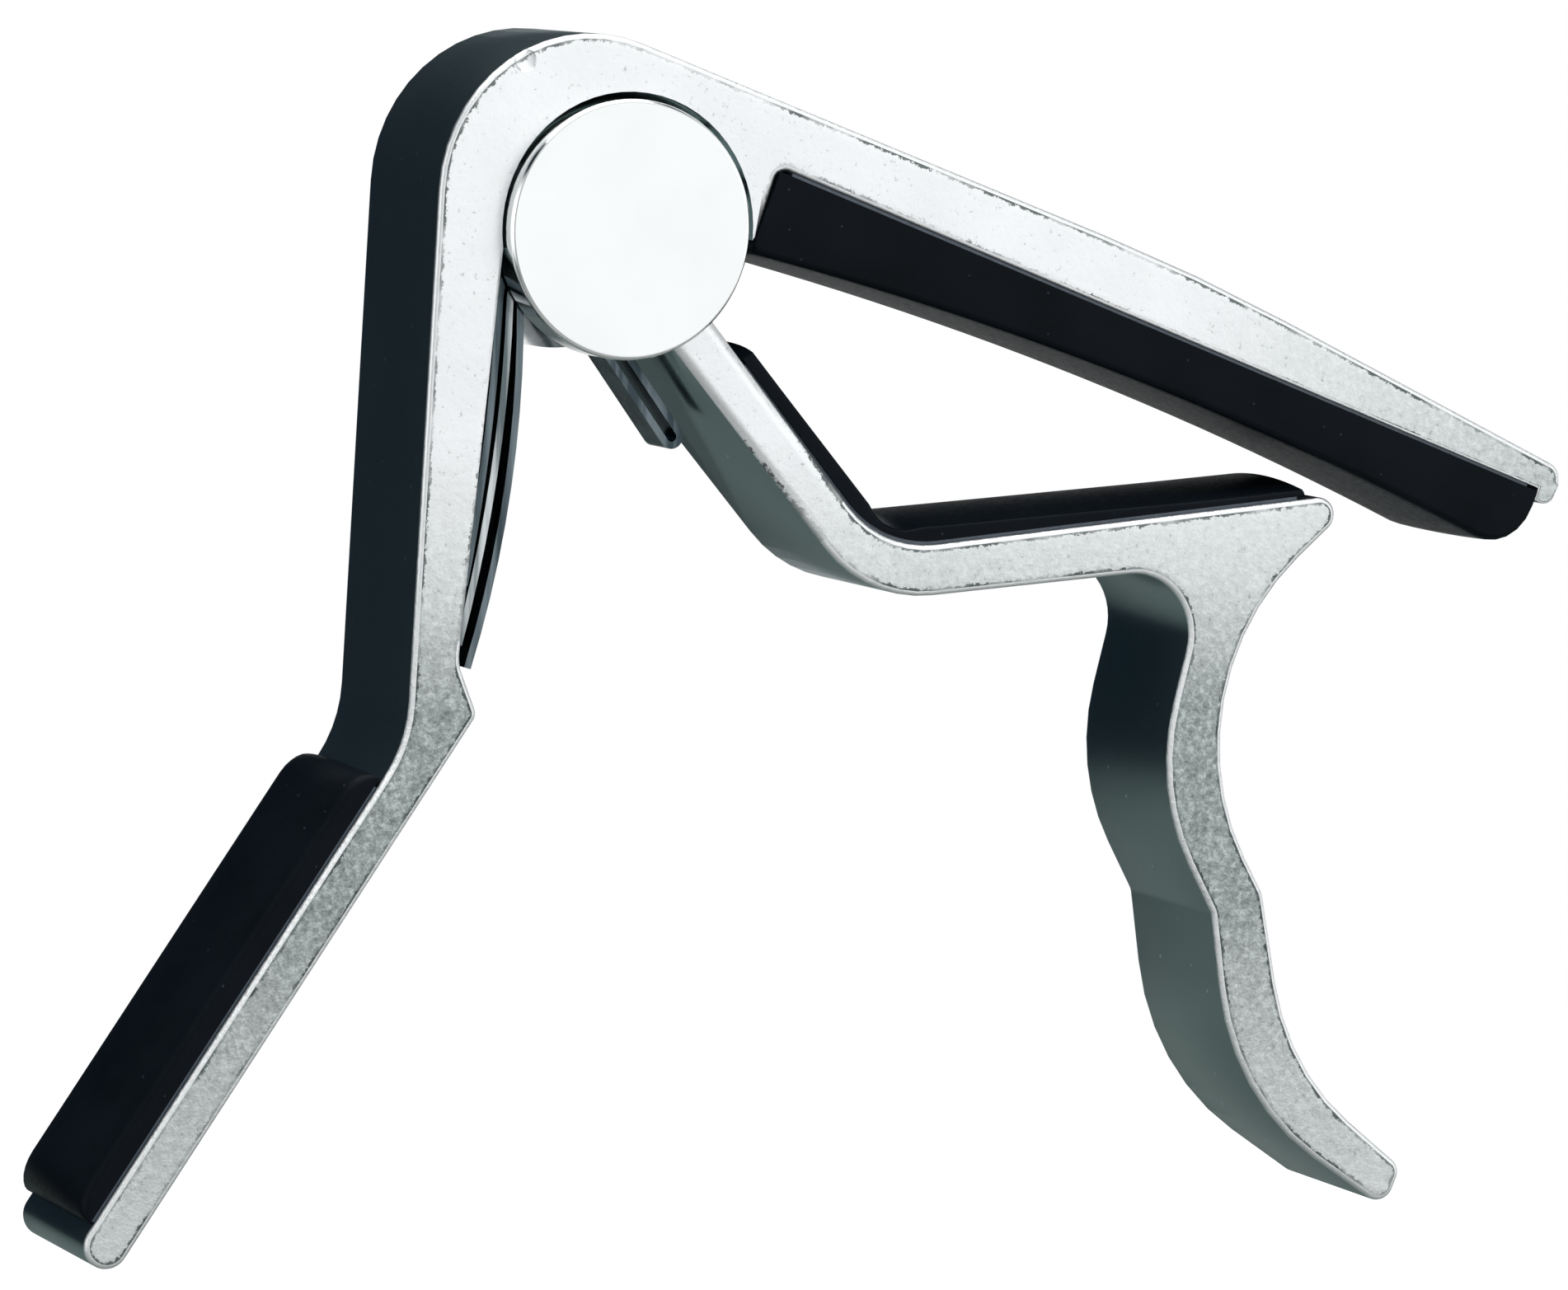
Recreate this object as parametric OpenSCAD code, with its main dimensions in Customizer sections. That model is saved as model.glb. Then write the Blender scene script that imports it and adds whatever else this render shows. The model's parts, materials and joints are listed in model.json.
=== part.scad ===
// Trigger-style guitar capo: a sprung clamp that holds a rubber bar across the strings.
// The frame carries the string bar and the handle in one piece. The lever carries the saddle that
// goes behind the neck and the trigger that the fingers pull. They turn on one pin.
// X runs towards the tip of the string bar, Z is up, and Y is the width of the two metal bodies.
// The capo stands on the tips of its handle and its trigger, and the origin is under its middle.

/* [Bodies] */
// Width of the frame and of the lever, along the pivot
body_w = 12.7; // [12.2:0.1:14]
// Thickness of the handle's lower leg
handle_t = 3.2; // [2.8:0.1:3.4]

/* [Pivot] */
// Radius of the two discs that cover the pivot
disc_r = 8.8; // [8.5:0.1:8.9]
// How far each disc stands out of the metal's side face
disc_proud = 1.3; // [1:0.1:2]
// Depth of the round pocket that each disc sits in
pocket_depth = 1.4; // [1:0.1:1.6]
// Radius of the pivot pin
pin_r = 2.0; // [1.6:0.1:2.1]
// Radial clearance between the pin and the bush that turns on it
running_gap = 0.04; // [0.02:0.01:0.1]

/* [Pads] */
// Radius that the string pad is hollowed to, as a fretboard is rounded
fretboard_r = 305; // [250:5:400]
// Thickness of the string pad at the middle of its length
string_pad_t = 3.8; // [3.2:0.1:4.5]
// Thickness of the saddle pad on the arm
saddle_pad_t = 1.5; // [1:0.1:2]
// Height of the grip pad over the handle, at its crown
grip_pad_t = 3.0; // [2:0.1:3.5]
// Length of the grip pad
grip_pad_l = 35.4; // [30:0.1:35.4]
// Thickness of the adhesive film under each pad
tape_t = 0.25; // [0.1:0.05:0.3]

/* [Spring] */
// Thickness of one leaf
leaf_t = 0.5; // [0.4:0.05:0.6]
// Width of the leaves
leaf_w = 9.5; // [8:0.1:9.6]

/* [Hidden] */
$fn = 96;

// Colours
satin = [0.80, 0.82, 0.81];
polished = [0.93, 0.94, 0.95];
spring_steel = [0.62, 0.65, 0.68];
rubber = [0.06, 0.06, 0.08];
film = [0.45, 0.50, 0.58];
bronze = [0.72, 0.55, 0.30];

// Angle and unit vectors of the seat that the string pad is glued to
seat_angle = -19.96;
seat_along = [cos(seat_angle), sin(seat_angle)];
seat_up = [-sin(seat_angle), cos(seat_angle)];
// Corners of the recess that holds the string pad, measured from the pivot
seat_start = [11.4, 4.29];
seat_length = 65.0;

// The handle's lower leg: the direction in which it runs down, its outer side, and its round end
leg_angle = 235.92;
leg_down = [cos(leg_angle), sin(leg_angle)];
leg_out = [sin(leg_angle), -cos(leg_angle)];
leg_l = 40.5;

// Pivot stack, as half widths from the middle plane
tongue_hw = 2.3;
slot_hw = 2.65;
pocket_hw = body_w / 2 - pocket_depth;
disc_inner = pocket_hw + 0.1;
disc_outer = body_w / 2 + disc_proud;
pocket_r = 9.25;
// The pockets are milled a little off the pivot, so more of their floor shows on one side
pocket_shift = [0.3, 0];
// Everything of the lever's full width stays outside this radius, clear of the discs
arm_root_r = 9.0;
ear_r = 3.6;
tongue_r = 3.5;
tongue_clear_r = 3.95;
bush_r = 2.6;
spigot_r = 1.3;
spigot_l = 1.6;

// The three leaves are bent over one centre, each leaf outside the one before
bend_at = [-4.6, -4.9];
bend_r = 2.2;
leaf_pitch = 0.75;
// Foot of each leaf on the handle and the radius that it bows to, the long leaf first
leaf_feet = [[-9.9, -29.8], [-10.6, -28.2], [-10.3, -24.2]];
leaf_bow_r = [75, 95, 130];

// ---- Outlines ----

function unit(v) = v / norm(v);
function polar(c, r, a) = [c[0] + r * cos(a), c[1] + r * sin(a)];
// Points on an arc about c from angle a0 to angle a1
function arc(c, r, a0, a1, n) = [for (i = [0 : n]) polar(c, r, a0 + (a1 - a0) * i / n)];
// Angle from direction u to direction v, positive to the left
function turn(u, v) = atan2(u[0] * v[1] - u[1] * v[0], u * v);
// One corner [x, z, radius] between its neighbours, as an arc that touches both edges
function corner(a, p, b) =
    let (u = unit([p[0] - a[0], p[1] - a[1]]),
         v = unit([b[0] - p[0], b[1] - p[1]]),
         k = turn(u, v),
         t = p[2] * tan(abs(k) / 2),
         s = sign(k),
         c = [p[0] - u[0] * t - s * u[1] * p[2], p[1] - u[1] * t + s * u[0] * p[2]],
         a0 = atan2(u[1], u[0]) - s * 90,
         n = max(2, ceil(abs(k) / 8)))
    p[2] == 0 ? [[p[0], p[1]]] : arc(c, p[2], a0, a0 + k, n);
// A closed outline from corners [x, z, radius]
function rounded(p) =
    let (n = len(p)) [for (i = [0 : n - 1]) each corner(p[(i + n - 1) % n], p[i], p[(i + 1) % n])];
// An outline point with its corner radius
function at(p, r) = [p[0], p[1], r];
// A band of thickness t along a line of points
function side(path, d) =
    let (n = len(path))
    [for (i = [0 : n - 1])
        let (a = path[max(i - 1, 0)], b = path[min(i + 1, n - 1)], u = unit(b - a))
        path[i] + d * [-u[1], u[0]]];
function reversed(p) = [for (i = [len(p) - 1 : -1 : 0]) p[i]];
function band(path, t) = concat(side(path, t / 2), reversed(side(path, -t / 2)));
// A bowed line from a to b with radius r, bulging to the right of its direction
function bow(a, b, r, n) =
    let (chord = norm(b - a), half = asin(chord / 2 / r), u = unit(b - a),
         c = (a + b) / 2 + r * cos(half) * [-u[1], u[0]],
         a0 = atan2(a[1] - c[1], a[0] - c[0]))
    arc(c, r, a0, a0 + 2 * half, n);

// ---- Outlines of the two bodies, measured from the pivot ----

saddle_corner = [20.2, -22.0];
saddle_tip = [58.3, -18.1];
lever_corners = [
    [0.8, 0.65, 0],             // inside the tongue's round end
    at(saddle_corner, 8),       // inner corner of the saddle
    at(saddle_tip, 1.25),       // nose at the end of the saddle
    [42.6, -32.0, 17],          // hollow for the upper finger
    [51.2, -46.7, 2],           // ridge between the fingers, outer side
    [53.9, -59.4, 18],          // hollow for the lower finger
    [63.5, -67.0, 1.1],         // round end of the trigger
    [62.3, -70.0, 1.3],
    [49.4, -61.4, 19],
    [47.2, -48.0, 1.2],         // ridge between the fingers, inner side
    [42.1, -39.0, 16],
    [45.8, -23.25, 4.5],        // fillet under the saddle
    [19.2, -25.55, 10],
    [-1.8, -1.6, 0]
];

// The trigger's tip and the round end of the handle are level, and the capo stands on them
pivot_z = -min([for (p = rounded(lever_corners)) p[1]]);
leg_end = [-35.2, handle_t / 2 - pivot_z];

// Corner of the handle's round end, on its outer side (1) or its inner side (-1)
function leg_corner(s) = leg_end + handle_t / 2 * leg_down + s * handle_t / 2 * leg_out;
// Bend of the handle, where its outer face turns
leg_bend = leg_corner(1) - leg_l * leg_down;
function seat(along, up) = seat_start + along * seat_along + up * seat_up;

frame_corners = [
    at(leg_corner(1), handle_t / 2 - 0.05),     // end of the handle, outer side
    at(leg_bend, 9.5),                          // bend of the handle
    [-13.0, 17.4, 10.9],                        // elbow
    [44.1, -2.7, 180],                          // the bar droops a little towards its tip
    [74.7, -16.65, 1.3],                        // round tip of the bar
    [73.5, -19.3, 0.9],
    at(seat(seat_length, -0.9), 0),             // lip that holds the string pad's end
    at(seat(seat_length, 0), 0),
    at(seat(0, 0), 0.8),                        // recess for the string pad
    at(seat(0, -5.0), 0.4),                     // web between the recess and the pivot
    [6.35, -5.6, 0.4],                          // nose that stops the lever when it is closed
    [2.2, -0.82, 0],
    [-3.2, -0.3, 0],
    [-8.75, -0.3, 0.8],                         // inner face of the handle, beside the spring
    [-11.15, -29.3, 3],
    [-9.7, -32.8, 0.9],                         // ridge below the feet of the leaves
    at(leg_corner(-1), handle_t / 2 - 0.05)     // end of the handle, inner side
];

// Grip pad, in side view
grip_w = body_w - 0.4;
grip_edge_t = 1.0;
// A place on the leg's outer face, from the bend downwards and outwards
function leg(down, out) = leg_bend + down * leg_down + out * leg_out;
grip_start = 3.0;
grip_end = grip_start + grip_pad_l;
// Radius of the crown across the handle, and the axis of that round
grip_crown_r = (pow(grip_w / 2, 2) + pow(grip_pad_t - grip_edge_t, 2)) / 2 / (grip_pad_t - grip_edge_t);
grip_axis = leg(0, tape_t + grip_pad_t - grip_crown_r);
grip_corners = [
    at(leg(grip_start, tape_t), 0),
    at(leg(grip_end, tape_t), 0),
    at(leg(grip_end, tape_t + grip_pad_t), 2.4),
    at(leg(grip_start, tape_t + grip_pad_t), 2.4)
];

// The origin is under the middle of the capo's length, from the grip pad to the tip of the bar
pivot_x = -(min([for (p = rounded(grip_corners)) p[0]]) + max([for (p = rounded(frame_corners)) p[0]])) / 2;

// ---- Placing ----

// Stands an outline drawn about the pivot upright, with its thickness from y0 to y1
module slab(y0, y1) {
    translate([pivot_x, y1, pivot_z]) rotate([90, 0, 0]) linear_extrude(y1 - y0) children();
}
// A cylinder about the pivot's axis, from y0 to y1
module turned(r, y0, y1) {
    translate([pivot_x, y1, pivot_z]) rotate([90, 0, 0]) cylinder(r = r, h = y1 - y0);
}

// ---- Frame: string bar, elbow and handle ----

module frame() {
    color(satin) difference() {
        union() {
            slab(-body_w / 2, body_w / 2) polygon(rounded(frame_corners));
            turned(ear_r, -pocket_hw, pocket_hw);
        }
        for (y0 = [pocket_hw, -pocket_hw - body_w])
            translate([pocket_shift[0], 0, pocket_shift[1]]) turned(pocket_r, y0, y0 + body_w);
        turned(tongue_clear_r, -slot_hw, slot_hw);
        turned(pin_r, -body_w, body_w);
    }
}

// ---- String pad in the recess of the bar ----

pad_gap = 0.1;
pad_l = seat_length - 2 * pad_gap;
pad_w = body_w + 0.4;
// The hollow's axis is far below the pad's thinnest place, a little beyond its middle
hollow_centre = seat(seat_length / 2 + 4.5, -tape_t - string_pad_t - fretboard_r);

module string_pad() {
    deep = tape_t + string_pad_t + 2;
    color(rubber) difference() {
        slab(-pad_w / 2, pad_w / 2) polygon(rounded([
            at(seat(pad_gap, -tape_t), 0.6),
            at(seat(pad_gap, -deep), 0.8),
            at(seat(pad_l, -deep), 3.4),
            at(seat(pad_l, -tape_t), 0.6)]));
        translate([pivot_x + hollow_centre[0], body_w, pivot_z + hollow_centre[1]])
            rotate([90, 0, 0]) cylinder(r = fretboard_r, h = 2 * body_w, $fn = 1440);
    }
}

module string_pad_tape() {
    color(film) slab(-body_w / 2 + 0.3, body_w / 2 - 0.3) polygon([
        seat(1.2, 0), seat(1.2, -tape_t), seat(seat_length - 0.8, -tape_t), seat(seat_length - 0.8, 0)]);
}

// ---- Grip pad on the outer face of the handle's lower leg ----

module grip_pad() {
    color(rubber) intersection() {
        slab(-grip_w / 2, grip_w / 2) polygon(rounded(grip_corners));
        translate([pivot_x + grip_axis[0], 0, pivot_z + grip_axis[1]]) rotate([0, 90 - leg_angle, 0])
            cylinder(r = grip_crown_r, h = grip_end + 5);
    }
}

module grip_pad_tape() {
    color(film) slab(-grip_w / 2 + 0.3, grip_w / 2 - 0.3) polygon([
        leg(grip_start + 0.6, 0), leg(grip_start + 0.6, tape_t),
        leg(grip_end - 0.3, tape_t), leg(grip_end - 0.3, 0)]);
}

// ---- Lever: tongue, arm, saddle and trigger ----

module lever() {
    outline = rounded(lever_corners);
    color(satin) difference() {
        union() {
            difference() {
                slab(-body_w / 2, body_w / 2) polygon(outline);
                turned(arm_root_r, -body_w, body_w);
            }
            slab(-tongue_hw, tongue_hw) polygon(outline);
            turned(tongue_r, -tongue_hw, tongue_hw);
        }
        turned(bush_r, -body_w, body_w);
    }
}

// ---- Saddle pad along the arm and the saddle ----

saddle_pad_end_t = 0.9;
saddle_w = body_w - 0.4;
arm_up = unit([saddle_corner[1] - lever_corners[0][1], lever_corners[0][0] - saddle_corner[0]]) * -1;
saddle_up = unit([saddle_corner[1] - saddle_tip[1], saddle_tip[0] - saddle_corner[0]]);
// Places above the arm's face and above the saddle's face, from the inner corner
function on_arm(along, up) =
    saddle_corner + along * unit([lever_corners[0][0], lever_corners[0][1]] - saddle_corner) + up * arm_up;
function on_saddle(along, up) = saddle_corner + along * unit(saddle_tip - saddle_corner) + up * saddle_up;
arm_pad_l = 17.2;
saddle_pad_l = 33.4;
// Where the tops of the two stretches meet
function pad_corner(t) = saddle_corner + t / (1 + arm_up * saddle_up) * (arm_up + saddle_up);

module saddle_pad() {
    color(rubber) slab(-saddle_w / 2, saddle_w / 2) polygon(rounded([
        at(on_arm(arm_pad_l, tape_t), 0),
        at(pad_corner(tape_t), 8 - tape_t),
        at(on_saddle(saddle_pad_l, tape_t), 0),
        at(on_saddle(saddle_pad_l - 0.5, tape_t + saddle_pad_end_t), 0.4),
        at(pad_corner(tape_t + saddle_pad_t + 0.2), 3),
        at(on_arm(arm_pad_l, tape_t + saddle_pad_t), 0.7)]));
}

module saddle_pad_tape() {
    color(film) slab(-saddle_w / 2 + 0.3, saddle_w / 2 - 0.3) polygon(rounded([
        at(on_arm(arm_pad_l - 0.5, 0), 0),
        at(saddle_corner, 8),
        at(on_saddle(saddle_pad_l - 0.5, 0), 0),
        at(on_saddle(saddle_pad_l - 0.5, tape_t), 0),
        at(pad_corner(tape_t), 8 - tape_t),
        at(on_arm(arm_pad_l - 0.5, tape_t), 0)]));
}

// ---- Pivot: pin, bush, washers and discs ----

module pivot_pin() {
    color(spring_steel) union() {
        turned(pin_r, -pocket_hw, pocket_hw);
        turned(spigot_r, -disc_inner - spigot_l, disc_inner + spigot_l);
    }
}

module pivot_bush() {
    color(bronze) difference() {
        turned(bush_r, -tongue_hw, tongue_hw);
        turned(pin_r + running_gap, -body_w, body_w);
    }
}

// A thrust washer between the tongue and one ear of the frame, on side s
module washer(s) {
    middle = (tongue_hw + slot_hw) / 2;
    color(bronze) difference() {
        turned(tongue_r, s * middle - 0.15, s * middle + 0.15);
        turned(pin_r + running_gap, -body_w, body_w);
    }
}

module washer_front() { washer(-1); }
module washer_rear() { washer(1); }

// A disc with a rounded rim and a blind hole for the pin's end. Its outer face is on side s.
module disc(s) {
    t = disc_outer - disc_inner;
    rim = 0.35;
    color(polished) translate([pivot_x, s * disc_inner, pivot_z]) rotate([-90 * s, 0, 0]) difference() {
        rotate_extrude() polygon(concat(
            [[0, 0], [disc_r, 0]],
            arc([disc_r - rim, t - rim], rim, 0, 90, 6),
            [[0, t]]));
        translate([0, 0, -1]) cylinder(r = spigot_r, h = spigot_l + 1);
    }
}

module front_disc() { disc(-1); }
module rear_disc() { disc(1); }

// ---- Spring: three nested leaves between the handle and the lever ----

// Middle line of leaf i, from its foot on the handle and over the bend to the angle over
function leaf_line(i, over) =
    let (r = bend_r + i * leaf_pitch)
    concat(bow(leaf_feet[i], bend_at - [r, 0], leaf_bow_r[i], 10), arc(bend_at, r, 170, over, 12));

// The long leaf goes on as a narrow tab. It runs down beside the arm, turns back on itself, and its
// end bends over to rest under the lever's tongue, between the discs.
tab_w = 3.0;
tab_angle = -52.8;
tab_l = 14.1;
tab_turn_r = 0.6;
tab_back_l = 6.6;
tab_end_r = 3.4;
tab_end_turn = -45;

module spring_leaf_long() {
    over = 90 + tab_angle;
    out = unit([cos(tab_angle), sin(tab_angle)]);
    tip = polar(bend_at, bend_r, over) + tab_l * out;
    back = arc(polar(tip, tab_turn_r, tab_angle + 90), tab_turn_r, tab_angle - 90, tab_angle + 90, 10);
    rest_from = back[10] - tab_back_l * out;
    rest_at = polar(rest_from, tab_end_r, tab_angle + 90);
    tab = concat([polar(bend_at, bend_r, over) - 0.2 * out], back,
                 arc(rest_at, tab_end_r, tab_angle - 90, tab_angle - 90 + tab_end_turn, 8));
    color(spring_steel) union() {
        slab(-leaf_w / 2, leaf_w / 2) polygon(band(leaf_line(0, over), leaf_t));
        slab(-tab_w / 2, tab_w / 2) polygon(band(tab, leaf_t));
    }
}

module spring_leaf_middle() {
    color(spring_steel) slab(-leaf_w / 2, leaf_w / 2)
        polygon(band(leaf_line(1, 88), leaf_t));
}

module spring_leaf_short() {
    color(spring_steel) slab(-leaf_w / 2, leaf_w / 2)
        polygon(band(leaf_line(2, 88), leaf_t));
}

frame();
string_pad();
string_pad_tape();
grip_pad();
grip_pad_tape();
lever();
saddle_pad();
saddle_pad_tape();
pivot_pin();
pivot_bush();
washer_front();
washer_rear();
front_disc();
rear_disc();
spring_leaf_long();
spring_leaf_middle();
spring_leaf_short();
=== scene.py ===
"""Trigger-style guitar capo: satin metal frame and lever, polished discs, leaf springs, rubber pads."""
import json
import math

import bmesh
import bpy
from mathutils import Matrix, Vector
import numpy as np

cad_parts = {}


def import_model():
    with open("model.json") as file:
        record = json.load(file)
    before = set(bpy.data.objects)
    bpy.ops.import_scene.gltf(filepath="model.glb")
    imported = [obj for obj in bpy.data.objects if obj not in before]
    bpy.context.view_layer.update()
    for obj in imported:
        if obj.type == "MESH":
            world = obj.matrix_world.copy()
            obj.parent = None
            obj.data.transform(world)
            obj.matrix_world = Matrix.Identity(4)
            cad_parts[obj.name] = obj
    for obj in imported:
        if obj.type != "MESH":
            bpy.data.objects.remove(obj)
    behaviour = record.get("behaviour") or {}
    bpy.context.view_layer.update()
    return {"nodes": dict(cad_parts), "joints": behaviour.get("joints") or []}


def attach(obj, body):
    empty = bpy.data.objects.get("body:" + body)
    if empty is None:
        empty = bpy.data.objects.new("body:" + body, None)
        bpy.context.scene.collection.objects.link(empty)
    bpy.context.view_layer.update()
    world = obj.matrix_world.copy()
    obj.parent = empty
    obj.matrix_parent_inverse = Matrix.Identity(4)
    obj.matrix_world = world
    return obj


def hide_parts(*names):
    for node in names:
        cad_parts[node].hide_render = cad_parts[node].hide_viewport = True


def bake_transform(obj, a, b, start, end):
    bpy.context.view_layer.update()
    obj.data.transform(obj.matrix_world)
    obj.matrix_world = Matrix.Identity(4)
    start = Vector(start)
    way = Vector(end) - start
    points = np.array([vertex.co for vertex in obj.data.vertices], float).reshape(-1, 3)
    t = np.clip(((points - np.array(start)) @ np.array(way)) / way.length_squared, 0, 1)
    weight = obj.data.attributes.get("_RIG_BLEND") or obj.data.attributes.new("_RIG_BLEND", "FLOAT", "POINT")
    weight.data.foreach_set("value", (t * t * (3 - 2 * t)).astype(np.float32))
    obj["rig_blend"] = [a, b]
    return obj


MM = 0.001

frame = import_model()
scene = bpy.context.scene
pivot = Vector(frame["joints"][0]["pos_m"])


def world(x, z, y=0.0):
    """A point in metres, from millimetres right of, above and behind the pivot."""
    return pivot + Vector((x, y, z)) * MM


# ---------------------------------------------------------------- driving values
# Lengths are in millimetres. A place is given right of and above the pivot, and then behind it.
FACE_HALF_WIDTH = 6.35          # half of the metal's width
EDGE_ROUND = 0.32               # tumbled edge round the metal's cut faces
RIM_BAND = 0.5                  # band inside that edge where burr and grime gather
FLOOR_DROP = 24.0               # room under the capo for the trigger's full swing

POCKET = world(0.3, 0.0)        # centre of the round pockets behind the discs
POCKET_REACH = 10.1             # edges this near to it stay crisp
LIP = world(73.0, -18.6)        # thin lip at the end of the bar
LIP_REACH = 1.6                 # edges this near to it are rounded less
LIP_SHARE = 0.35                # their share of the full rounding
WELD = 0.002                    # corners nearer than this are joined
MITRE_LIMIT = 1.2               # keeps the inward step short at sharp corners

DENT = (-7.6, 11.2, -FACE_HALF_WIDTH)
DENT_RADIUS = 0.8
BAR_TIP = (74.0, -17.0, -FACE_HALF_WIDTH)
TIP_SHADE_REACH = 34.0           # painted shade: the bar's front is darkened, and its grain coarsened, over this length towards its tip

TAPE = 0.25                     # adhesive film under each pad
SEAT_START = Vector((11.4, 4.29))
SEAT_ANGLE = math.radians(-19.96)
SEAT_LENGTH = 65.0
SEAT_GAP = 0.1                  # between each end of the string pad and its recess
FRETBOARD_RADIUS = 305.0
STRING_PAD_THINNEST = SEAT_LENGTH / 2 + 4.5     # along the seat from its start
STRING_PAD_THICKNESS = 3.8      # at that place
STRING_PAD_HALF_WIDTH = 6.55

LEG_BEND = Vector((-14.73, -34.61))
LEG_ANGLE = math.radians(235.92)
GRIP_START = 3.0                # along the leg from its bend
GRIP_END = 38.3
GRIP_THICKNESS = 3.0            # at the crown
GRIP_CROWN = 1.8                # how much lower its long edges are
GRIP_END_RADIUS = 2.4

ARM_TOP = Vector((0.8, 0.65))
SADDLE_CORNER = Vector((20.2, -22.0))
SADDLE_TIP = Vector((58.3, -18.1))
SADDLE_PAD_THICKNESS = 1.6
SADDLE_PAD_THINNING = 0.6       # from its corner to its far end
NARROW_PAD_HALF_WIDTH = 6.15    # of the grip pad and the saddle pad

CAMERA_PLACE = (-196.6, 22.3, -448.2)
CAMERA_RIGHT = (0.90455, -0.42512, 0.03261)
CAMERA_UP = (0.01451, 0.10714, 0.99414)
CAMERA_LENS = 164.7
CAMERA_SENSOR = 36.0


# ---------------------------------------------------------------- material graph helper
class Graph:
    """Adds nodes to one material and wires them."""

    def __init__(self, name, tree=None):
        if tree is None:
            self.material = bpy.data.materials.new(name)
            self.material.use_nodes = True
            tree = self.material.node_tree
            self.shader = tree.nodes["Principled BSDF"]
        self.tree = tree

    def put(self, socket, value):
        if isinstance(value, bpy.types.NodeSocket):
            self.tree.links.new(value, socket)
        else:
            socket.default_value = value

    def add(self, kind, **inputs):
        node = self.tree.nodes.new(kind)
        for key, value in inputs.items():
            self.put(node.inputs[key.replace("_", " ")], value)
        return node

    def place(self):
        return self.add("ShaderNodeTexCoord").outputs["Object"]

    def noise(self, scale, detail=4.0, rough=0.55, vector=None):
        node = self.add("ShaderNodeTexNoise", Scale=scale, Detail=detail, Roughness=rough)
        self.put(node.inputs["Vector"], vector or self.place())
        return node.outputs["Fac"]

    def stretched(self, scale):
        node = self.add("ShaderNodeMapping", Vector=self.place(), Scale=scale)
        return node.outputs["Vector"]

    def cells(self, scale):
        node = self.add("ShaderNodeTexVoronoi", Scale=scale, Vector=self.place())
        return node.outputs["Distance"]

    def ramp(self, value, *stops):
        """Maps a value through (position, grey or colour) stops."""
        node = self.add("ShaderNodeValToRGB", Fac=value)
        points = node.color_ramp.elements
        while len(points) < len(stops):
            points.new(0.5)
        for point, (position, tone) in zip(points, stops):
            point.position = position
            point.color = (tone, tone, tone, 1) if isinstance(tone, (int, float)) else (*tone, 1)
        return node.outputs["Color"]

    def mix(self, share, a, b):
        node = self.add("ShaderNodeMix")
        node.data_type = "RGBA"
        for index, value in ((0, share), (6, a), (7, b)):
            self.put(node.inputs[index], (*value, 1) if isinstance(value, tuple) else value)
        return node.outputs[2]

    def math(self, operation, a, b=0.0, clamp=False):
        node = self.add("ShaderNodeMath")
        node.operation = operation
        node.use_clamp = clamp
        self.put(node.inputs[0], a)
        self.put(node.inputs[1], b)
        return node.outputs[0]

    def attribute(self, name):
        node = self.add("ShaderNodeAttribute")
        node.attribute_name = name
        return node.outputs["Fac"]

    def near(self, point, radius):
        """1 at a point given in millimetres from the pivot, falling to 0 at the radius."""
        node = self.add("ShaderNodeVectorMath", Vector=self.place())
        node.operation = "DISTANCE"
        node.inputs[1].default_value = world(*point)
        return self.math("SUBTRACT", 1.0, self.math("DIVIDE", node.outputs["Value"], radius * MM), clamp=True)

    def below_pivot(self):
        """0 at the pivot's level and above, 1 at 100 mm below it."""
        z = self.add("ShaderNodeSeparateXYZ", Vector=self.place()).outputs["Z"]
        return self.math("MULTIPLY", self.math("SUBTRACT", pivot.z, z), 10.0, clamp=True)

    def bump(self, height, strength, depth, under=None):
        """A bump whose height of 1 stands for a depth in millimetres."""
        node = self.add("ShaderNodeBump", Height=height, Strength=strength, Distance=depth * MM)
        if under:
            self.put(node.inputs["Normal"], under)
        return node.outputs["Normal"]

    def finish(self, color, roughness, metallic=0.0, normal=None, **extra):
        inputs = self.shader.inputs
        self.put(inputs["Base Color"], color if isinstance(color, bpy.types.NodeSocket) else (*color, 1))
        self.put(inputs["Roughness"], roughness)
        self.put(inputs["Metallic"], metallic)
        if normal:
            self.put(inputs["Normal"], normal)
        for key, value in extra.items():
            self.put(inputs[key.replace("_", " ")], value)
        return self.material


# ---------------------------------------------------------------- materials
def side_metal():
    """Satin sides of the drawn bar: a smooth dark sheen with tiny pale specks."""
    g = Graph("drawn satin metal")
    fine = g.noise(3200, 3)
    specks = g.ramp(g.cells(420), (0.045, 1.0), (0.075, 0.0))
    cloud = g.ramp(g.noise(60, 3), (0.3, (0.30, 0.38, 0.39)), (0.7, (0.36, 0.44, 0.44)))
    tone = g.mix(g.math("MULTIPLY", specks, 0.5), cloud, (0.95, 0.97, 1.0))
    rough = g.ramp(fine, (0.3, 0.28), (0.7, 0.31))
    return g.finish(tone, rough, 1.0, g.bump(fine, 0.04, 0.02))


def shade_and_coarse_share(g):
    """Share of painted shade, and of coarser grain, on a cut face: none near the pivot's level, most 33 to 46
    mm below it, less towards the feet, and some at the bar's tip."""
    stops = ((0.14, 0.0), (0.25, 0.42), (0.33, 1.0), (0.46, 1.0), (0.60, 0.55), (0.69, 0.25))
    low = g.ramp(g.below_pivot(), *stops)
    # painted shade near the bar's tip
    tip_shade = g.math("MULTIPLY", g.near(BAR_TIP, TIP_SHADE_REACH), 0.65)
    return g.math("MAXIMUM", low, tip_shade)


def burr_share(g, rim, on_face):
    """A ragged line of burr and grime beside the rounded edge, stronger in patches."""
    noise = g.math("SUBTRACT", g.noise(1700, 6, 0.8), 0.5)
    ragged = g.math("ADD", rim, g.math("MULTIPLY", noise, 2.4))
    line = g.ramp(ragged, (0.62, 0.0), (0.70, 1.0))
    patches = g.ramp(g.noise(260, 3), (0.40, 0.25), (0.58, 1.0))
    return g.math("MULTIPLY", g.math("MULTIPLY", line, on_face), patches)


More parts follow.
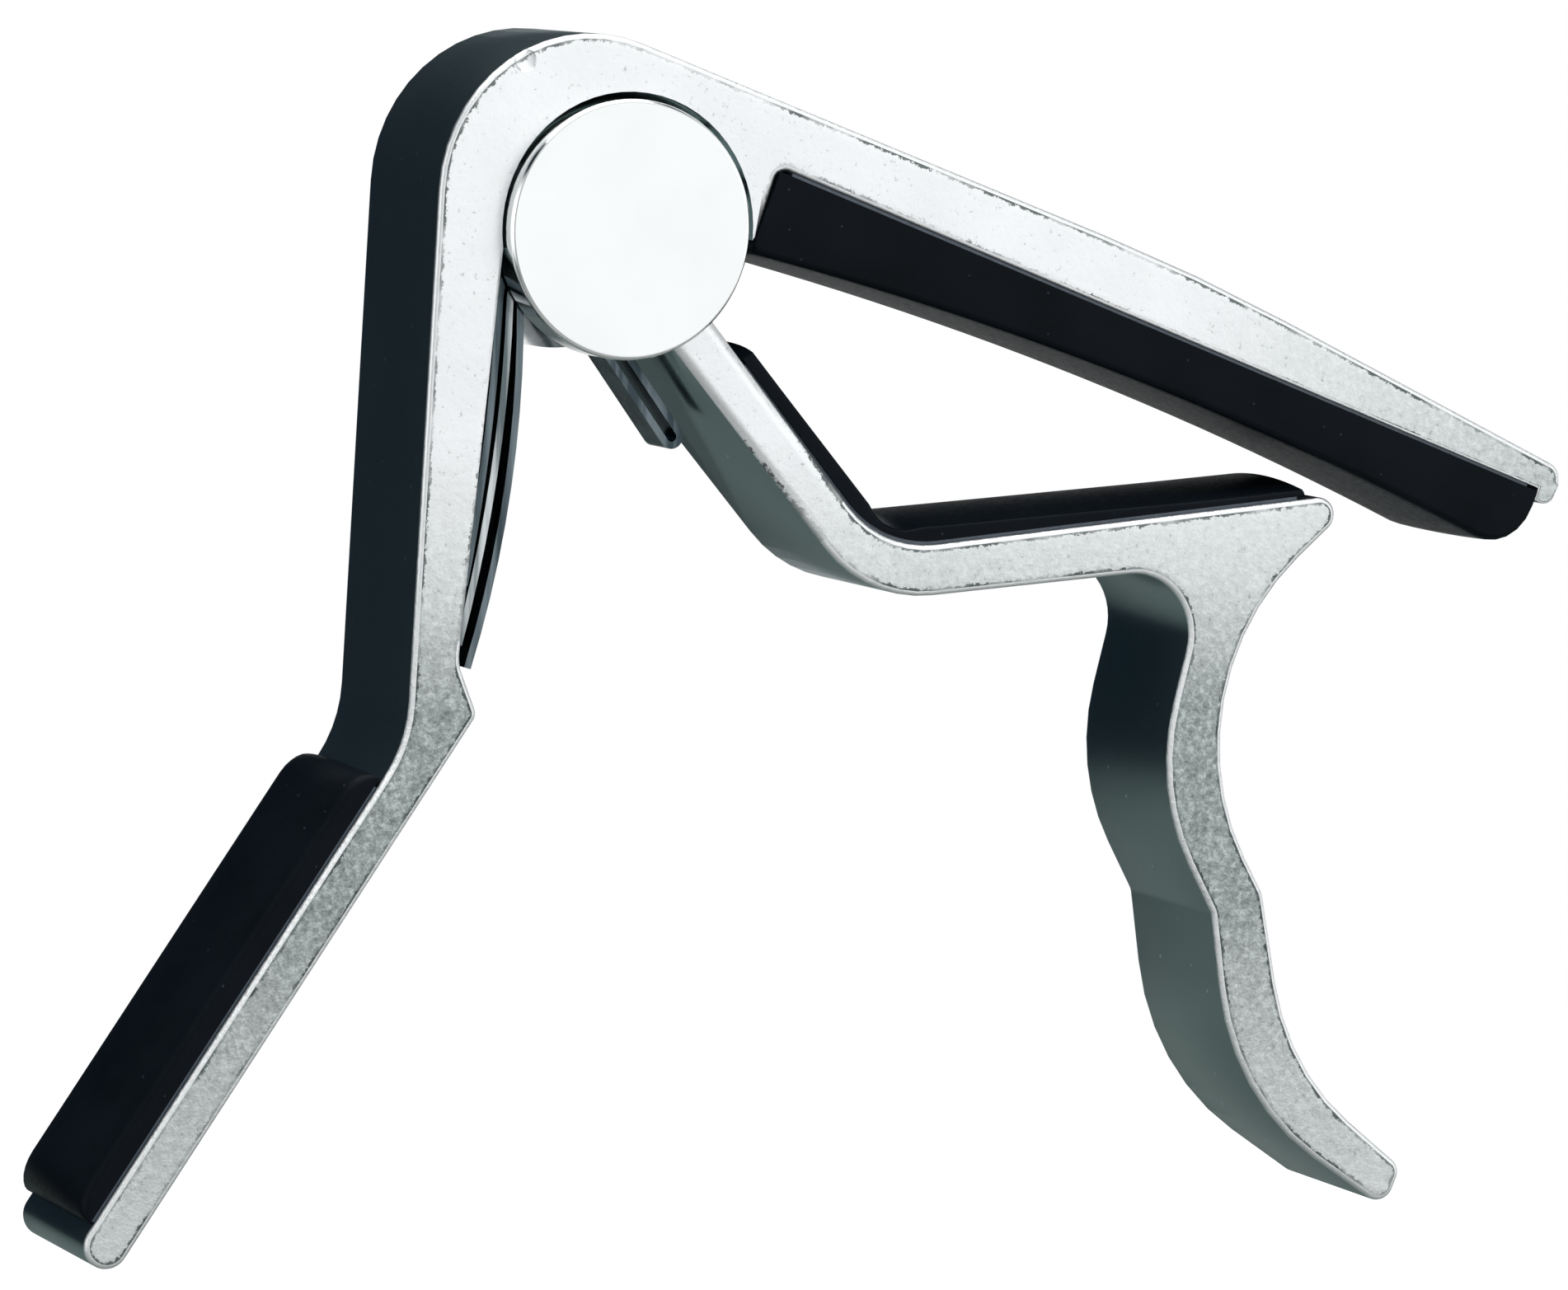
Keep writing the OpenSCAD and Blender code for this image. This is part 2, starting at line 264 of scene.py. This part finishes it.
def cut_metal():
    """Cut and blasted front and back: near white, with a fine pitted grain that is coarser lower down and
    towards the bar's tip, where painted shade also darkens it, a dark ragged burr beside the edge, and a
    clean bright rounded edge."""
    g = Graph("blasted metal face")
    grain = g.noise(2300, 6, 0.72)
    lumps = g.noise(800, 3, 0.6)
    # share of painted shade and of coarser grain
    shade_and_coarse = shade_and_coarse_share(g)
    clean = g.ramp(g.noise(140, 3), (0.3, (0.90, 0.92, 0.925)), (0.7, (0.97, 0.985, 0.99)))
    pits = g.ramp(grain, (0.33, 1.0), (0.38, 0.0))
    unshaded = g.mix(g.math("MULTIPLY", pits, 0.55), clean, (0.34, 0.39, 0.38))
    # painted shade: the grain's darker tones lower down and towards the bar's tip
    shaded_grain = g.ramp(grain, (0.36, (0.16, 0.20, 0.19)), (0.50, (0.31, 0.37, 0.355)), (0.64, (0.60, 0.67, 0.65)))
    tone = g.mix(g.math("MULTIPLY", shade_and_coarse, 0.86), unshaded, shaded_grain)
    rim = g.attribute("rim")
    on_face = g.math("GREATER_THAN", 0.97, rim)
    burr = burr_share(g, rim, on_face)
    tone = g.mix(on_face, (0.93, 0.95, 0.95), tone)
    tone = g.mix(g.math("MULTIPLY", burr, 0.85), tone, (0.05, 0.07, 0.07))
    rough = g.math("ADD", 0.40, g.math("MULTIPLY", burr, 0.15))
    height = g.math("ADD", g.math("MULTIPLY", grain, 0.5), g.math("MULTIPLY", lumps, 0.5))
    relief = g.bump(height, g.math("ADD", 0.28, g.math("MULTIPLY", shade_and_coarse, 0.55)), 0.26)
    dent = g.math("POWER", g.near(DENT, DENT_RADIUS), 0.5)
    return g.finish(tone, rough, 1.0, g.bump(g.math("MULTIPLY", dent, -1.0), 1.0, 0.3, relief))


def polished_metal():
    """Polished disc with a fine turned pattern."""
    g = Graph("polished disc metal")
    swirl = g.noise(900, 2)
    rough = g.ramp(swirl, (0.3, 0.09), (0.75, 0.16))
    tone = g.ramp(g.noise(120, 3), (0.3, (0.90, 0.92, 0.91)), (0.7, (0.95, 0.97, 0.96)))
    return g.finish(tone, rough, 1.0, g.bump(swirl, 0.03, 0.02))


def leaf_metal(name, dull, bright):
    """Rolled spring steel with streaks along each leaf, between two tones."""
    g = Graph(name)
    streak = g.noise(1100, 4, vector=g.stretched((1, 1, 0.05)))
    rough = g.ramp(streak, (0.3, 0.18), (0.7, 0.30))
    tone = g.ramp(streak, (0.38, dull), (0.62, bright))
    return g.finish(tone, rough, 1.0, g.bump(streak, 0.1, 0.03))


def inner_metal(name, tone):
    """Turned metal of the hidden pivot pieces."""
    g = Graph(name)
    rings = g.noise(1800, 3, vector=g.stretched((0.2, 1, 1)))
    rough = g.ramp(rings, (0.3, 0.24), (0.7, 0.36))
    shade = g.mix(g.math("MULTIPLY", rings, 0.3), tone, (0.2, 0.2, 0.2))
    return g.finish(shade, rough, 1.0, g.bump(rings, 0.08, 0.03))


def black_rubber():
    """Moulded rubber: fine skin, faint clouds and a few pale dust specks."""
    g = Graph("black rubber")
    fine = g.noise(2300, 5, 0.65)
    waves = g.noise(130, 3)
    dust = g.ramp(g.cells(620), (0.035, 1.0), (0.07, 0.0))
    cloud = g.ramp(waves, (0.35, (0.0024, 0.0042, 0.0062)), (0.7, (0.0044, 0.0068, 0.0100)))
    tone = g.mix(g.math("MULTIPLY", dust, 0.10), cloud, (0.20, 0.25, 0.30))
    rough = g.ramp(fine, (0.3, 0.36), (0.7, 0.50))
    normal = g.bump(waves, 0.25, 0.12, g.bump(fine, 0.22, 0.05))
    return g.finish(tone, rough, 0.0, normal, Specular_IOR_Level=0.06)


def tape_film():
    """Adhesive film under the pads."""
    g = Graph("adhesive film")
    fine = g.noise(1500, 3)
    tone = g.ramp(fine, (0.3, (0.10, 0.13, 0.17)), (0.7, (0.17, 0.21, 0.26)))
    return g.finish(tone, g.ramp(fine, (0.3, 0.3), (0.7, 0.42)), 0.0, g.bump(fine, 0.1, 0.03))


# ---------------------------------------------------------------- metal pieces
def linked(name, mesh):
    obj = bpy.data.objects.new(name, mesh)
    scene.collection.objects.link(obj)
    return obj


def clean_mesh(node):
    """The node's mesh with doubled corners joined and flat faces merged, as a bmesh."""
    bm = bmesh.new()
    bm.from_mesh(frame["nodes"][node].data)
    bmesh.ops.remove_doubles(bm, verts=bm.verts, dist=WELD * MM)
    bmesh.ops.dissolve_limit(bm, angle_limit=math.radians(1), verts=bm.verts, edges=bm.edges)
    return bm


def cut_faces(bm):
    """The flat outer faces on the front and back of a metal body."""
    return [f for f in bm.faces
            if abs(f.normal.y) > 0.999 and abs(f.calc_center_median().y) > (FACE_HALF_WIDTH - 0.05) * MM]


def place_key(point):
    """A place rounded to a micrometre, by which the corners of one ring are found again."""
    return tuple(round(value / MM, 3) for value in point)


def share(point):
    """How much of the rounding a corner gets: none on the disc pockets, a little on the bar's thin lip."""
    flat = Vector((point.x, 0, point.z))
    if (flat - POCKET).length < POCKET_REACH * MM:
        return 0.0
    return LIP_SHARE if (flat - LIP).length < LIP_REACH * MM else 1.0


def inward_steps(faces):
    """For each corner on the faces' outline, its share and the step that moves both its edges inward by 1."""
    normals = {}
    inside = set(faces)
    for loop in (loop for f in faces for loop in f.loops):
        if any(other in inside for other in loop.edge.link_faces if other is not loop.face):
            continue
        a, b = loop.vert, loop.link_loop_next.vert
        inward = loop.face.normal.cross(b.co - a.co).normalized()
        for vert in (a, b):
            normals.setdefault(vert, []).append(inward)
    steps = {}
    for vert, sides in normals.items():
        total = sum(sides, Vector())
        part = share(vert.co)
        steps[vert] = (part, total * (part * len(sides) / max(total.length_squared, MITRE_LIMIT)))
    return steps


def inset(bm, faces, steps, distance, lift, mark):
    """Adds a ring inside the faces' outline: distance inward and lift outward, both in metres."""
    rim = bm.verts.layers.float["rim"]
    keyed = {place_key(vert.co): step for vert, step in steps.items()}
    bmesh.ops.inset_region(bm, faces=faces, thickness=0.0)
    ring = {}
    for vert in {v for f in faces for v in f.verts}:
        part, step = keyed.get(place_key(vert.co), (0.0, Vector()))
        vert.co += step * distance
        vert.co.y += math.copysign(lift * part, vert.co.y)
        vert[rim] = mark if part else 0.0
        ring[vert] = (part, step)
    return ring


def round_rims(bm, radius, arcs=3):
    """Rounds the edge round the cut faces to a radius, and marks the face beside it in the rim attribute,
    which is 1 on the rounding and falls to 0 over the rim band."""
    rim = bm.verts.layers.float.new("rim")
    faces = cut_faces(bm)
    steps = inward_steps(faces)
    for vert, (part, step) in steps.items():
        vert.co.y -= math.copysign(radius * part * MM, vert.co.y)
        vert[rim] = 1.0 if part else 0.0
    for i in range(arcs):
        a, b = (math.radians(90 * k / arcs) for k in (i, i + 1))
        inward, outward = math.cos(a) - math.cos(b), math.sin(b) - math.sin(a)
        steps = inset(bm, faces, steps, radius * MM * inward, radius * MM * outward, 1.0)
    inset(bm, faces, steps, RIM_BAND * MM, 0.0, 0.0)
    bmesh.ops.remove_doubles(bm, verts=bm.verts, dist=WELD * MM)


def smooth(obj, angle=math.radians(32)):
    for face in obj.data.polygons:
        face.use_smooth = True
    obj.data.set_sharp_from_angle(angle=angle)
    return obj


def metal_body(node, name, body, faces, sides):
    """The frame or the lever: cut faces in one finish, the drawn sides in the other, which recessed flat
    faces such as the disc pockets' floors also get as painted shade.
    """
    bm = clean_mesh(node)
    round_rims(bm, EDGE_ROUND)
    mesh = bpy.data.meshes.new(name)
    bm.to_mesh(mesh)
    bm.free()
    mesh.materials.append(sides)
    mesh.materials.append(faces)
    for face in mesh.polygons:
        # flat faces below the outer faces, such as the disc pockets' floors, take the darker side finish:
        # painted shade in the recesses
        proud = abs(face.center.y) > (FACE_HALF_WIDTH - EDGE_ROUND) * MM
        face.material_index = 1 if proud and abs(face.normal.y) > 0.15 else 0
    obj = smooth(linked(name, mesh))
    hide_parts(node)
    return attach(obj, body)


# ---------------------------------------------------------------- rubber pads
def unit(angle):
    return Vector((math.cos(angle), math.sin(angle)))


def left_of(v):
    return Vector((-v.y, v.x))


def fillet(before, point, after, radius, steps):
    """Points of the arc that rounds a corner."""
    u = (point - before).normalized()
    v = (after - point).normalized()
    angle = -u.angle_signed(v)
    reach = radius * math.tan(abs(angle) / 2)
    start = point - u * reach
    side = 1 if angle > 0 else -1
    centre = start + left_of(u) * radius * side
    first = start - centre
    points = []
    for i in range(steps + 1):
        a = angle * i / steps
        points.append(centre + Vector((first.x * math.cos(a) - first.y * math.sin(a),
                                       first.x * math.sin(a) + first.y * math.cos(a))))
    return points


def section(height, half_width, crown, corner):
    """Half-open outline (y, height) of a pad's cross-section: walls, round corners and a crowned top."""
    r = min(corner, 0.45 * height)

    def top(y):
        return height - crown * (y / half_width) ** 2

    wall = top(half_width - r) - r
    left = [(-half_width, 0.0), (-half_width, wall * 0.5), (-half_width, wall)]
    for i in range(1, 5):
        a = math.radians(90 * i / 4)
        left.append((-half_width + r - r * math.cos(a), wall + r * math.sin(a)))
    span = half_width - r
    middle = [(span * k / 6, top(span * k / 6)) for k in range(-5, 6)]
    right = [(-y, h) for y, h in reversed(left)]
    return left + middle + right


def pad(name, node, body, base, top, half_width, crown, corner, material):
    """A rubber pad between a base line on its tape and a top line, both in side view."""
    bm = bmesh.new()
    rings = []
    for low, high in zip(base, top):
        height = (high - low).length
        up = (high - low) / height
        drop = min(crown, 0.6 * height)
        ring = [bm.verts.new(world(*(low + up * h), y)) for y, h in section(height, half_width, drop, corner)]
        rings.append(ring)
    for a, b in zip(rings, rings[1:]):
        for i in range(len(a)):
            j = (i + 1) % len(a)
            bm.faces.new((a[i], a[j], b[j], b[i]))
    bm.faces.new(rings[0][::-1])
    bm.faces.new(rings[-1])
    bmesh.ops.recalc_face_normals(bm, faces=bm.faces)
    mesh = bpy.data.meshes.new(name)
    bm.to_mesh(mesh)
    bm.free()
    mesh.materials.append(material)
    obj = smooth(linked(name, mesh), math.radians(50))
    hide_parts(node)
    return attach(obj, body)


def end_share(distance, radius, thickness):
    """Thickness left at a distance from an end that is rounded to a radius."""
    r = min(radius, thickness * 0.85)
    if distance >= r:
        return thickness
    return thickness - r + math.sqrt(r * r - (r - distance) ** 2)


def stations(start, end, first_radius, last_radius, plain):
    """Places along a pad: close together where its ends are rounded."""
    ends = [1 - math.cos(math.radians(90 * i / 6)) for i in range(7)]
    front = [start + first_radius * e for e in ends]
    back = [end - last_radius * e for e in reversed(ends)]
    step = (back[0] - front[-1]) / plain
    return front + [front[-1] + step * i for i in range(1, plain)] + back


def straight_pad(origin, along, out, start, end, radii, thickness):
    """Base and top lines of a pad on a straight face."""
    base, top = [], []
    for s in stations(start, end, *radii, plain=24):
        t = thickness(s)
        t = end_share(s - start, radii[0], t)
        t = end_share(end - s, radii[1], t)
        low = origin + along * s + out * TAPE
        base.append(low)
        top.append(low + out * t)
    return base, top


def string_pad(material):
    """Thick pad in the bar's recess, hollowed along its length to the fretboard's round."""
    along = unit(SEAT_ANGLE)

    def thickness(s):
        sag = FRETBOARD_RADIUS - math.sqrt(FRETBOARD_RADIUS ** 2 - (s - STRING_PAD_THINNEST) ** 2)
        return STRING_PAD_THICKNESS + sag

    base, top = straight_pad(SEAT_START, along, -left_of(along), SEAT_GAP, SEAT_LENGTH - SEAT_GAP,
                             radii=(0.6, 3.4), thickness=thickness)
    return pad("string_pad_rubber", "string_pad", "frame_body", base, top,
               STRING_PAD_HALF_WIDTH, crown=0.12, corner=0.5, material=material)


def grip_pad(material):
    """Crowned pad on the outer face of the handle's lower leg."""
    along = unit(LEG_ANGLE)
    base, top = straight_pad(LEG_BEND, along, -left_of(along), GRIP_START, GRIP_END,
                             (GRIP_END_RADIUS, GRIP_END_RADIUS), lambda s: GRIP_THICKNESS)
    return pad("grip_pad_rubber", "grip_pad", "frame_body", base, top,
               NARROW_PAD_HALF_WIDTH, crown=GRIP_CROWN, corner=0.8, material=material)


def saddle_line(height, arm_end, tip_end, radius, thin=0.0):
    """The saddle pad's side line at a height over the metal, lower by thin at the saddle's end. The two
    ends are measured from the inner corner, which is rounded to a radius."""
    arm = (ARM_TOP - SADDLE_CORNER).normalized()
    seat = (SADDLE_TIP - SADDLE_CORNER).normalized()
    arm_up, seat_up = -left_of(arm), left_of(seat)
    corner = SADDLE_CORNER + (arm_up + seat_up) * (height / (1 + arm_up.dot(seat_up)))
    first = SADDLE_CORNER + arm * arm_end + arm_up * height
    last = SADDLE_CORNER + seat * tip_end + seat_up * (height - thin)
    bend = fillet(first, corner, last, radius, 10)
    lead = [first.lerp(bend[0], i / 10) for i in range(10)]
    tail = [bend[-1].lerp(last, i / 14) for i in range(1, 15)]
    return lead + bend + tail


def saddle_pad(material):
    """Thin pad that runs round the inner corner, along the arm and the saddle."""
    base = saddle_line(TAPE, arm_end=17.2, tip_end=33.4, radius=7.75)
    top = saddle_line(TAPE + SADDLE_PAD_THICKNESS, arm_end=16.9, tip_end=33.2, radius=3.2,
                      thin=SADDLE_PAD_THINNING)
    return pad("saddle_pad_rubber", "saddle_pad", "lever_body", base, top,
               NARROW_PAD_HALF_WIDTH, crown=0.75, corner=0.35, material=material)


# ---------------------------------------------------------------- spring
def long_leaf(material):
    """The leaf that bends between the handle and the lever."""
    bm = clean_mesh("spring_leaf_long")
    mesh = bpy.data.meshes.new("long_leaf_steel")
    bm.to_mesh(mesh)
    bm.free()
    mesh.materials.append(material)
    obj = smooth(linked("long_leaf_steel", mesh))
    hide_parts("spring_leaf_long")
    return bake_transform(obj, "frame_body", "lever_body", start=world(-6.6, -5.0), end=world(1.2, -5.0))


# ---------------------------------------------------------------- carried-over nodes
def dressed(node, material):
    """Gives a node that keeps its own shape a material and a slot."""
    obj = frame["nodes"][node]
    obj.data.materials.clear()
    obj.data.materials.append(material)


faces, sides = cut_metal(), side_metal()
metal_body("frame", "frame_metal", "frame_body", faces, sides)
metal_body("lever", "lever_metal", "lever_body", faces, sides)
rubber = black_rubber()
string_pad(rubber)
grip_pad(rubber)
saddle_pad(rubber)
dark_steel = leaf_metal("dark spring steel", (0.045, 0.065, 0.075), (0.16, 0.20, 0.22))
bright_steel = leaf_metal("bright spring steel", (0.12, 0.15, 0.16), (0.62, 0.66, 0.67))
long_leaf(dark_steel)
bronze = inner_metal("turned bronze", (0.68, 0.52, 0.28))
carried = (
    (("string_pad_tape", "grip_pad_tape", "saddle_pad_tape"), tape_film(), "tape_film"),
    (("front_disc", "rear_disc"), polished_metal(), "disc_metal"),
    (("spring_leaf_middle",), bright_steel, "spring_metal"),
    (("spring_leaf_short",), dark_steel, "spring_metal"),
    (("pivot_pin",), inner_metal("ground pin steel", (0.60, 0.62, 0.64)), "pin_metal"),
    (("pivot_bush", "washer_front", "washer_rear"), bronze, "bush_metal"),
)
for nodes, material, slot in carried:
    for node in nodes:
        dressed(node, material)


# ---------------------------------------------------------------- camera, light and floor
def turned_to(right, up):
    """Rotation of something that looks along -(right x up)."""
    r = Vector(right).normalized()
    back = r.cross(Vector(up)).normalized()
    return Matrix((r, back.cross(r), back)).transposed().to_4x4()


def add_camera():
    data = bpy.data.cameras.new("camera")
    data.lens = CAMERA_LENS
    data.sensor_width = CAMERA_SENSOR
    data.clip_start = 0.01
    data.clip_end = 20
    cam = linked("camera", data)
    cam.matrix_world = Matrix.Translation(world(*CAMERA_PLACE)) @ turned_to(CAMERA_RIGHT, CAMERA_UP)
    scene.camera = cam


def area_light(name, place, target, size, power):
    data = bpy.data.lights.new(name, "AREA")
    data.shape = "RECTANGLE"
    data.size, data.size_y = size
    data.energy = power
    lamp = linked(name, data)
    back = Vector(place) - Vector(target)
    lamp.matrix_world = Matrix.Translation(place) @ back.to_track_quat("Z", "Y").to_matrix().to_4x4()


def add_floor():
    """A pale sheet that fades into the white surround, low enough for the trigger's full swing.
    What the metal mirrors of it is bright in front of the capo and dark behind it."""
    mesh = bpy.data.meshes.new("floor")
    bm = bmesh.new()
    bmesh.ops.create_grid(bm, x_segments=2, y_segments=2, size=0.6)
    bm.to_mesh(mesh)
    bm.free()
    floor = linked("floor", mesh)
    floor.location.z = -FLOOR_DROP * MM
    g = Graph("pale floor")
    seen = g.add("ShaderNodeLightPath").outputs["Is Camera Ray"]
    depth = g.add("ShaderNodeSeparateXYZ", Vector=g.place()).outputs["Y"]
    # the mirrored tone changes from 37 mm in front of the middle to the middle
    backward = g.math("ADD", 0.5, g.math("MULTIPLY", depth, 8.0))
    mirrored = g.ramp(backward, (0.2, 0.30), (0.5, (0.16, 0.19, 0.18)))
    pale = g.mix(seen, mirrored, (0.92, 0.92, 0.92))
    g.finish(pale, g.ramp(g.noise(30), (0.3, 0.75), (0.7, 0.85)))
    distance = g.add("ShaderNodeVectorMath", Vector=g.place())
    distance.operation = "LENGTH"
    # solid up to 88 mm from the middle and gone at 300 mm
    fade = g.ramp(g.math("MULTIPLY", distance.outputs["Value"], 2.5), (0.22, 1.0), (0.75, 0.0))
    g.put(g.shader.inputs["Alpha"], fade)
    mesh.materials.append(g.material)


def add_world():
    """White to the eye; what the metal reflects is dark with soft panels."""
    studio = bpy.data.worlds.new("studio")
    studio.use_nodes = True
    tree = studio.node_tree
    g = Graph("", tree)
    direction = g.add("ShaderNodeTexCoord").outputs["Generated"]
    # direction, cosines from it where the glow ends and where it is full, strength
    panels = (
        ((0.42, -0.90, 0.05), 0.55, 0.86, 1.0),      # in front, a little to the right
        ((-0.92, -0.38, 0.05), 0.84, 0.96, 1.5),     # left
        ((0.0, 0.0, 1.0), 0.72, 0.95, 0.9),          # overhead
        ((1.0, -0.1, 0.15), 0.80, 0.96, 0.8),        # right
        ((0.60, 0.80, -0.15), 0.90, 0.97, 0.8),      # behind, to the right
    )
    level = 0.010
    for toward, outer, inner, strength in panels:
        node = g.add("ShaderNodeVectorMath", Vector=direction)
        node.operation = "DOT_PRODUCT"
        node.inputs[1].default_value = Vector(toward).normalized()
        glow = g.ramp(node.outputs["Value"], (outer, 0.0), (inner, 1.0))
        level = g.math("ADD", g.math("MULTIPLY", glow, strength), level)
    ambient = g.add("ShaderNodeCombineColor", Red=level, Green=level, Blue=level).outputs["Color"]
    tint = g.add("ShaderNodeVectorMath", Vector=ambient)
    tint.operation = "ADD"
    tint.inputs[1].default_value = (0.0, 0.010, 0.020)
    seen = g.add("ShaderNodeLightPath").outputs["Is Camera Ray"]
    color = g.mix(seen, tint.outputs["Vector"], (1.0, 1.0, 1.0))
    g.put(tree.nodes["Background"].inputs["Color"], color)
    scene.world = studio


add_camera()
add_floor()
add_world()
area_light("overhead softbox", (0.0, -0.1, 0.75), (0, 0, 0), size=(0.8, 0.8), power=7)
scene.view_settings.view_transform = "Standard"
